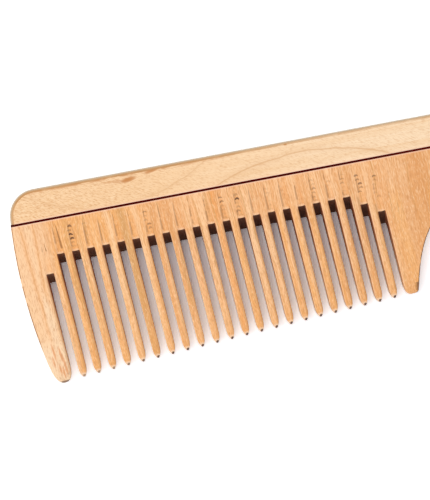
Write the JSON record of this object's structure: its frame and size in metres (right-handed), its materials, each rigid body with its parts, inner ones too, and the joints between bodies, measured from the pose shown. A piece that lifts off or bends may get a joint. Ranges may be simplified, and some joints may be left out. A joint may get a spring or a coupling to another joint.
{
  "type": "wooden comb",
  "caption": "Wooden hair comb with a bowed front, a row of long teeth between two guards and a straight rounded handle.",
  "frame": {"origin": "middle of the comb's box in plan, on the plane of its flat back", "axes": "+X along the spine towards the handle's end, +Y from the teeth's tips towards the spine's straight edge, +Z out of the fluted front face"},
  "size_m": [0.2, 0.0512, 0.008],
  "materials": {
    "pale_beech": "sanded and oiled, satin",
    "dyed_veneer": "dyed through, satin",
    "warm_beech": "sanded and oiled, satin"
  },
  "bodies": {
    "root": {"spine_strip": "pale_beech", "veneer_line": "dyed_veneer", "tooth_board": "warm_beech"}
  },
  "joints": []
}
